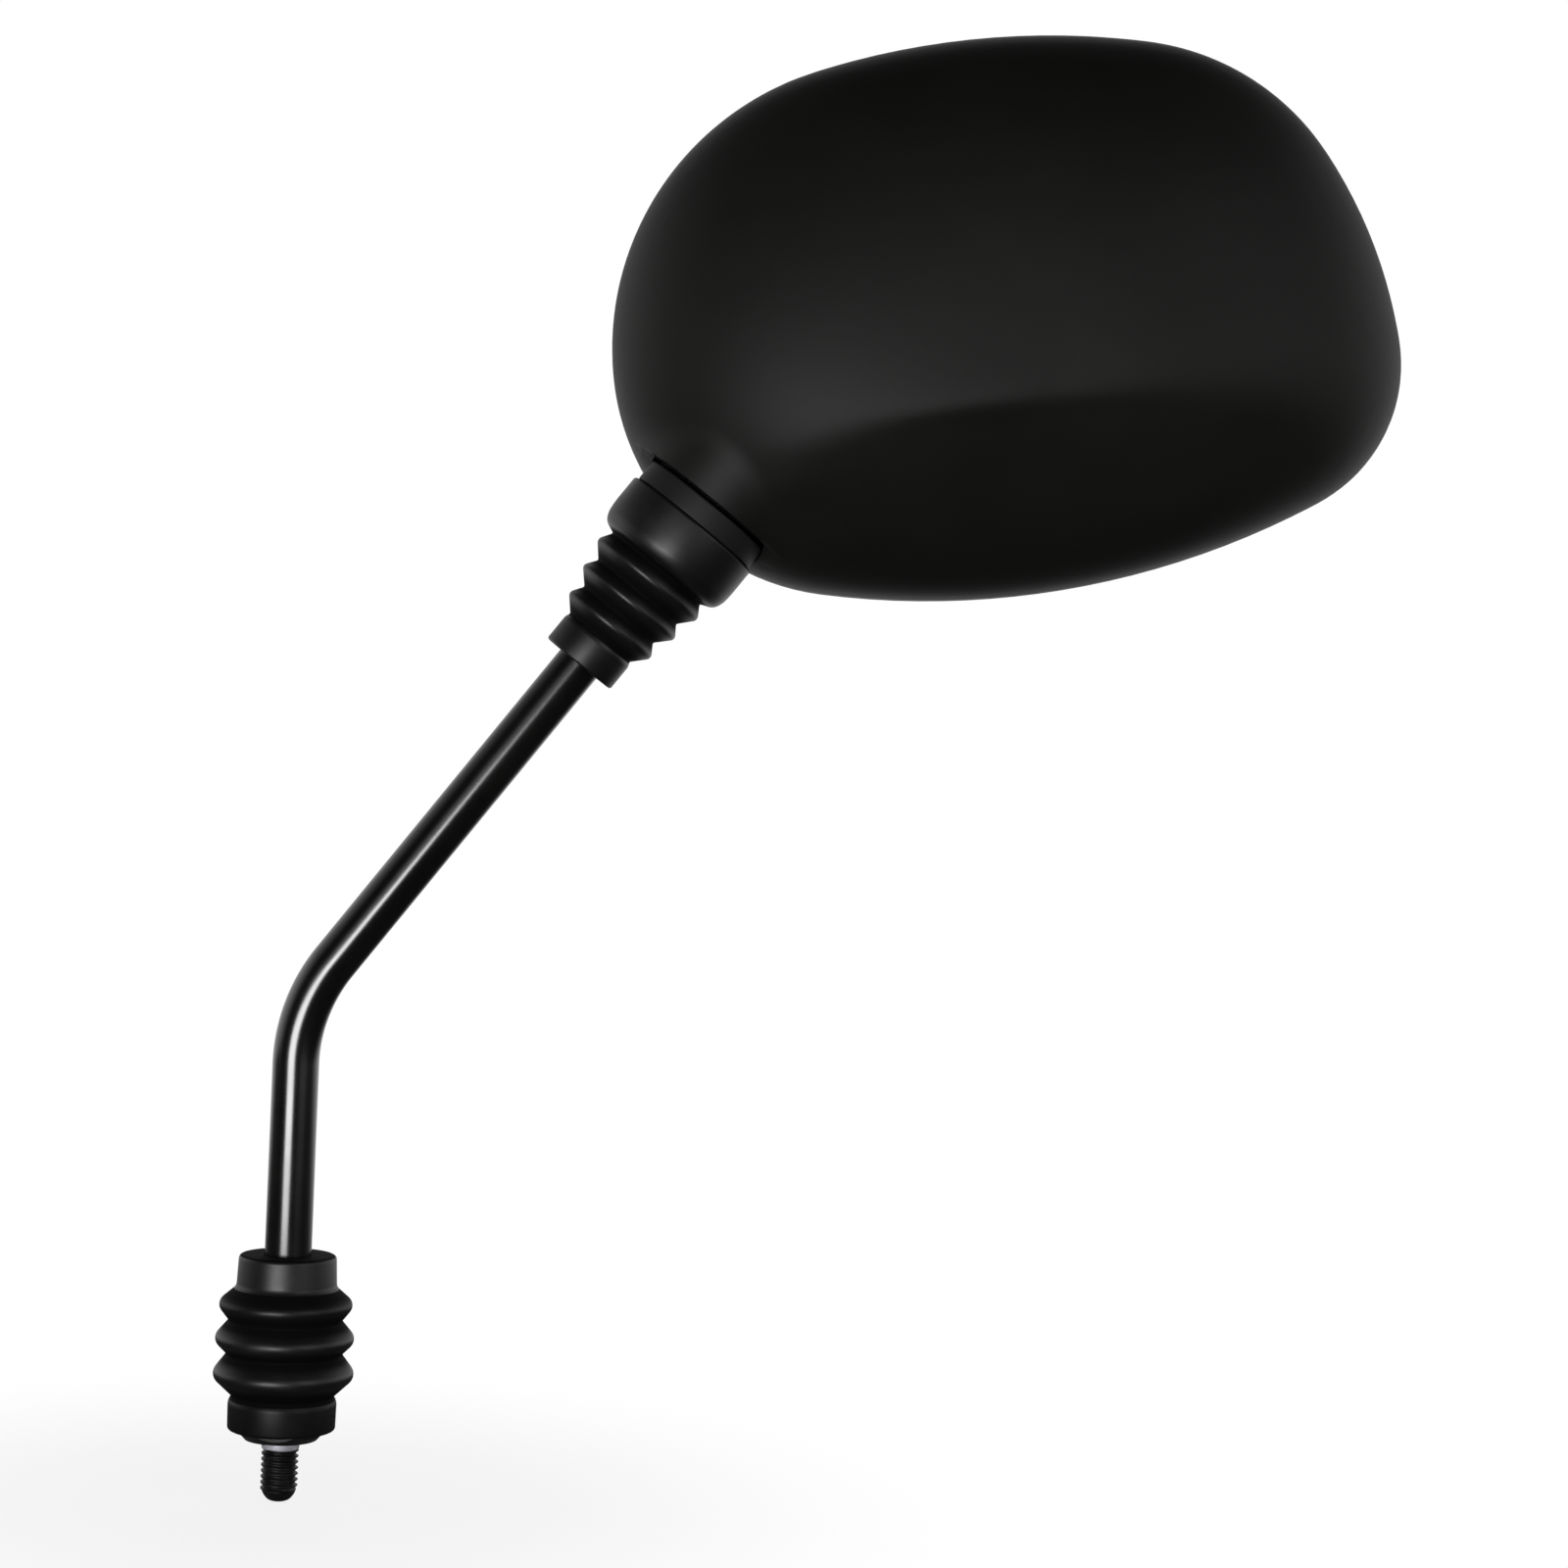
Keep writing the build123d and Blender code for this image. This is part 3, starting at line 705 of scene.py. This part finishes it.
def modelThread(sizes):
    pitch = sizes["pitch"]
    turns = round((sizes["threadTop"] - sizes["threadFoot"]) / pitch) + sizes["spareTurns"]
    start = sizes["threadTop"] + pitch
    steps = [
        (sizes["core"], 0.0),
        (sizes["outer"], sizes["flankEnd"]),
        (sizes["outer"], sizes["crestEnd"]),
        (sizes["core"], sizes["rootStart"]),
        (sizes["core"], 1.0),
    ]
    points = [Vector((radius, 0, start - share * pitch)) * mm for radius, share in steps]
    thread = startWire("studThread", points[0])
    drawTo(points)
    bpy.ops.object.mode_set(mode="OBJECT")
    bpy.ops.object.modifier_add(type="SCREW")
    screw = thread.modifiers[-1]
    screw.axis = "Z"
    screw.angle = 2 * pi
    screw.screw_offset = -pitch * mm
    screw.iterations = turns
    screw.steps = sizes["sides"]
    screw.render_steps = sizes["sides"]
    screw.use_merge_vertices = True
    screw.merge_threshold = mergeGap
    bpy.ops.object.modifier_apply(modifier=screw.name)
    bpy.ops.object.mode_set(mode="EDIT")
    bpy.ops.mesh.select_all(action="SELECT")
    bpy.ops.mesh.remove_doubles(threshold=nodeMergeGap)
    cutAcross(sizes["threadTop"], False)
    cutAcross(sizes["threadFoot"], True)
    bpy.ops.mesh.select_all(action="SELECT")
    bpy.ops.mesh.normals_make_consistent(inside=False)
    smoothPiece(thread, smoothAngles["thread"])
    return thread


def modelAdapter(sizes):
    hexagon = copyNode("adapter", "studAdapter", smoothAngles["hexagon"])
    bpy.ops.object.mode_set(mode="EDIT")
    cutAcross(sizes["hexagonFoot"], True)
    smoothPiece(hexagon, smoothAngles["hexagon"])
    paintWhole(hexagon, stemPaint)
    thread = modelThread(sizes)
    paintWhole(thread, blackedSteel)
    rootCorners = [
        (0.0, 0.0, 0),
        (sizes["rootRadius"], 0.0, 0),
        (sizes["rootRadius"], sizes["rootFoot"], sizes["rootRounding"]),
        (sizes["core"], sizes["rootFoot"] - sizes["rootTaper"], 0),
        (0.0, sizes["rootFoot"] - sizes["rootTaper"], 0),
    ]
    root = turnPiece("studRoot", rootCorners, Vector(), stemAlong, stemAcross, sizes["sides"])
    paintWhole(root, zincPlate)
    shoulderRadius = sizes["domeRadius"] - sizes["domeTaper"]
    domeCorners = [
        (0.0, sizes["domeTop"], 0),
        (sizes["core"], sizes["domeTop"], 0),
        (sizes["domeRadius"], sizes["domeTop"] - sizes["domeStep"], sizes["domeEdge"]),
        (shoulderRadius, sizes["tip"] + sizes["shoulder"], sizes["shoulderRounding"]),
        (sizes["domeRadius"] - sizes["tipInset"], sizes["tip"], sizes["tipRounding"]),
        (0.0, sizes["tip"], 0),
    ]
    dome = turnPiece("studEnd", domeCorners, Vector(), stemAlong, stemAcross, sizes["sides"])
    paintWhole(dome, blackedSteel)
    clearSelection()
    for piece in (thread, root, dome, hexagon):
        piece.select_set(True)
    bpy.context.view_layer.objects.active = hexagon
    bpy.ops.object.join()
    return hexagon


adapter = modelAdapter(studSizes)
standIn(adapter, "adapter", "mount")
print("adapter finished")


# Base boot: two collars with three folds between them, heights above the seat face
bootSides = 120
baseBootCorners = [
    (10.2, 2.0, 0.3),
    (11.5, 2.0, 0.7),
    (11.6, 8.1, 0.7),
    (10.9, 9.3, 0.4),
    (15.7, 13.8, 1.9),
    (12.3, 18.3, 0.4),
    (15.5, 21.5, 1.8),
    (12.1, 25.5, 0.4),
    (14.9, 29.1, 1.8),
    (10.7, 32.7, 0.8),
    (10.4, 39.6, 0.9),
    (5.06, 39.6, 0.3),
    (5.06, 34.0, 0),
    (8.8, 31.6, 0),
    (12.6, 28.7, 0.8),
    (10.6, 25.5, 0.3),
    (13.2, 21.5, 0.8),
    (10.8, 18.4, 0.3),
    (13.4, 13.9, 0.8),
    (10.2, 10.6, 0),
]
# where the base boot gets painted shade: folds, flat top and the two collars
baseBootFolds = {
    "start": 8.6,
    "end": 32.3,
    "valley": 12.3,
    "ridge": 15.1,
    "taper": 0.0,
    "top": 39.3,
    "lowCollarShade": 0.42,
    "highCollarShade": 0.16,
}


def markFolds(piece, folds, centre, along):  # share of painted shade: 1 down in a fold and on the flat top, 0 on the ridges, part on the collars
    depth = piece.data.attributes.new("paintedShadeMask", "FLOAT", "POINT")
    for point, mark in zip(piece.data.vertices, depth.data):
        height = (point.co - centre).dot(along) / mm
        radius = (point.co - centre).cross(along).length / mm
        floor = folds["valley"] + folds["taper"] * (height - folds["start"])
        share = (radius - floor) / (folds["ridge"] - folds["valley"])
        if folds["start"] < height < folds["end"]:
            mark.value = 1 - min(max(share, 0), 1)
        elif height > folds["top"]:
            mark.value = 1.0
        else:
            mark.value = folds["lowCollarShade"] if height < folds["start"] else folds["highCollarShade"]


baseBoot = turnPiece("baseBoot", baseBootCorners, Vector(), stemAlong, stemAcross, bootSides)
markFolds(baseBoot, baseBootFolds, Vector(), stemAlong)
paintWhole(baseBoot, bootRubber)
standIn(baseBoot, "base_boot", "stem")

# Neck boot: between the stem and the neck ring, heights above its small end
neckBootSizes = {"smallEnd": -46.84, "bendStart": 6.0, "bendEnd": 31.0}
neckBootCorners = [
    (5.06, 0.0, 0.3),
    (8.7, 0.0, 0.6),
    (8.7, 6.3, 0.5),
    (8.2, 7.2, 0.3),
    (11.4, 10.7, 0.9),
    (9.5, 13.6, 0.35),
    (12.8, 17.1, 0.9),
    (10.8, 19.9, 0.35),
    (13.9, 23.4, 0.9),
    (12.0, 26.4, 0.4),
    (14.7, 27.5, 0.8),
    (15.7, 29.2, 1.0),
    (16.0, 31.8, 1.3),
    (16.0, 38.8, 0.6),
    (12.86, 38.8, 0),
    (12.86, 29.8, 0),
    (10.5, 26.2, 0.3),
    (12.0, 23.5, 0.6),
    (9.3, 19.9, 0.3),
    (10.9, 17.2, 0.6),
    (8.0, 13.6, 0.3),
    (9.5, 10.8, 0.6),
    (6.8, 7.2, 0),
    (5.06, 5.1, 0),
]
# where the neck boot gets painted shade: its folds only
neckBootFolds = {
    "start": 6.9,
    "end": 27.4,
    "valley": 8.2,
    "ridge": 10.7,
    "taper": 0.2,
    "top": 50.0,
    "lowCollarShade": 0.0,
    "highCollarShade": 0.0,
}


def modelNeckBoot(sizes):
    smallEnd = ballCentre + neckAlong * sizes["smallEnd"] * mm
    boot = turnPiece("neckBoot", neckBootCorners, smallEnd, neckAlong, neckAcross, bootSides)
    markFolds(boot, neckBootFolds, smallEnd, neckAlong)
    paintWhole(boot, bootRubber)
    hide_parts("neck_boot")
    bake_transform(boot)


modelNeckBoot(neckBootSizes)
print("boots finished")

# Pieces inside the joint keep their CAD shape
innerFinishes = {
    "lower_seat": seatNylon,
    "upper_seat": seatNylon,
    "thrust_washer": springSteel,
    "disc_spring": springSteel,
    "pivot_ball": turnedSteel,
    "lock_nut": zincPlate,
    "backing_pad": padFelt,
}
for nodeName, material in innerFinishes.items():
    paintWhole(frame["nodes"][nodeName], material)
print("inner pieces finished")


# Studio: white walls behind and at the sides, dark above and below, panels that fade towards their edges
white = (1, 1, 1, 1)
studioSizes = {  # metres, apart from the gap
    "floorGap": 0.2,  # mm
    "floorSize": 8.0,
    "floorFront": 0.35,
    "floorColour": (0.85, 0.85, 0.85),
    "floorBehind": (0.1, 0.6),
    "shadowStart": 0.03,
    "shadowReach": 0.16,
    "shadowShare": 0.14,
    "darkSide": 0.03,
    "wallLevel": 1.0,
    "wallRange": (-0.50, 0.20),  # this and the next three are parts of a ray's direction
    "liftRange": (0.25, 0.75),
    "upperHeights": (-0.05, 0.20),
    "upperDepths": (0.60, 0.90),
    "upperShade": 0.45,
    "fill": 0.16,
}


def backdropLevel(wire, walls):  # what a ray meets: camera rays white, reflections the walls
    path = wire.add("ShaderNodeLightPath")
    camera = path.outlet("Is Camera Ray")
    reflected = path.outlet("Is Glossy Ray").largest(path.outlet("Is Transmission Ray"))
    dim = walls * (studioSizes["wallLevel"] - studioSizes["darkSide"]) + studioSizes["darkSide"]
    return camera.largest(reflected), camera.largest(dim)


def makeWorld():
    world = bpy.data.worlds.new("studioWorld")
    bpy.context.scene.world = world
    world.use_nodes = True
    world.node_tree.nodes.clear()
    wire = Wire(world.node_tree)
    direction = wire.add("ShaderNodeTexCoord").outlet("Generated")
    parts = wire.add("ShaderNodeSeparateXYZ", None, {0: direction})
    depth = parts.outlet("Y")
    height = parts.outlet("Z")
    lifted = wire.maths("ABSOLUTE", height, 0.0).rise(*studioSizes["liftRange"])
    upper = height.rise(*studioSizes["upperHeights"]) * depth.rise(*studioSizes["upperDepths"])
    walls = depth.rise(*studioSizes["wallRange"]) * (1 - lifted) * (1 - upper * studioSizes["upperShade"])
    seen, level = backdropLevel(wire, walls)
    strength = seen * level + (1 - seen) * studioSizes["fill"]
    sky = wire.add("ShaderNodeBackground", None, {"Color": white, "Strength": strength})
    wire.add("ShaderNodeOutputWorld", None, {"Surface": sky})


def makeFloor():
    clearSelection()
    height = cadBox[0].z - studioSizes["floorGap"] * mm
    middle = studioSizes["floorSize"] / 2 - studioSizes["floorFront"]
    bpy.ops.mesh.primitive_plane_add(size=studioSizes["floorSize"], location=(0, middle, height))
    floor = bpy.context.object
    floor.name = "studioFloor"
    bpy.ops.object.transform_apply(location=True, rotation=True, scale=True)
    material, wire, place = startFinish("floorWhite")
    depth = wire.add("ShaderNodeSeparateXYZ", None, {0: place}).outlet("Y")
    behind = depth.rise(*studioSizes["floorBehind"])
    seen, level = backdropLevel(wire, behind)
    distance = wire.add("ShaderNodeVectorMath", {"operation": "LENGTH"}, {0: place}).outlet("Value")
    near = distance.rise(studioSizes["shadowStart"], studioSizes["shadowReach"])
    shaded = 1 - near  # only the floor near the stud takes shadow; its matt share also greys it there where no shadow falls, a painted shade round the stud
    matt = wire.add("ShaderNodeBsdfDiffuse", None, {"Color": opaque(studioSizes["floorColour"])})
    bright = wire.add("ShaderNodeEmission", None, {"Color": white, "Strength": level})
    share = seen * (1 - shaded * studioSizes["shadowShare"])
    mixed = wire.add("ShaderNodeMixShader", None, {0: share, 1: matt, 2: bright})
    wire.add("ShaderNodeOutputMaterial", None, {"Surface": mixed})
    paintWhole(floor, material)


panels = {
    "keyPanel": {"place": (-0.20, -0.85, 0.015), "size": (0.61, 0.253), "power": 9.2, "fade": 0.25},
    "topPanel": {"place": (-0.20, -0.95, 0.28), "size": (0.92, 0.43), "power": 0.71, "fade": 0.35},
    "rightPanel": {"place": (0.90, -0.80, 0.42), "size": (1.23, 1.23), "power": 6.4, "fade": 0.35},
    "backPanel": {"place": (0.10, 0.95, 0.75), "size": (1.60, 0.90), "power": 4.0, "fade": 0.45},
}


def fadePanel(lamp, share):  # the light falls off towards the panel's edges
    lamp.use_nodes = True
    lamp.node_tree.nodes.clear()
    wire = Wire(lamp.node_tree)
    spot = wire.add("ShaderNodeNewGeometry").outlet("Parametric")
    sides = wire.add("ShaderNodeSeparateXYZ", None, {0: spot})
    level = 1.0
    for side in ("X", "Y"):
        level = level * sides.outlet(side).rise(0.0, share) * (1 - sides.outlet(side).rise(1 - share, 1.0))
    glow = wire.add("ShaderNodeEmission", None, {"Color": white, "Strength": level})
    wire.add("ShaderNodeOutputLight", None, {"Surface": glow})


panelTarget = (0.10, 0.0, 0.17)


def hangPanels():
    target = Vector(panelTarget)
    for name, panel in panels.items():
        clearSelection()
        place = Vector(panel["place"])
        facing = (target - place).to_track_quat("-Z", "Y").to_euler()
        bpy.ops.object.light_add(type="AREA", location=place, rotation=facing)
        lamp = bpy.context.object
        lamp.name = name
        lamp.data.shape = "RECTANGLE"
        lamp.data.size, lamp.data.size_y = panel["size"]
        lamp.data.energy = panel["power"]
        fadePanel(lamp.data, panel["fade"])
        lamp.visible_camera = False


cameraSizes = {
    "place": (102.45, -680.0, 144.95),
    "lean": 2.32,
    "lens": 72.6,
    "sensor": 36.0,
    "nearClip": 10.0,
}


def setCamera(sizes):
    clearSelection()
    turn = (radians(90), radians(-sizes["lean"]), 0)
    bpy.ops.object.camera_add(location=Vector(sizes["place"]) * mm, rotation=turn)
    camera = bpy.context.object
    camera.name = "photoCamera"
    camera.data.lens = sizes["lens"]
    camera.data.sensor_width = sizes["sensor"]
    camera.data.clip_start = sizes["nearClip"] * mm
    bpy.context.scene.camera = camera


makeWorld()
makeFloor()
hangPanels()
setCamera(cameraSizes)
bpy.context.scene.view_settings.view_transform = "Standard"
print("studio ready")

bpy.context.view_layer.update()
clearSelection()
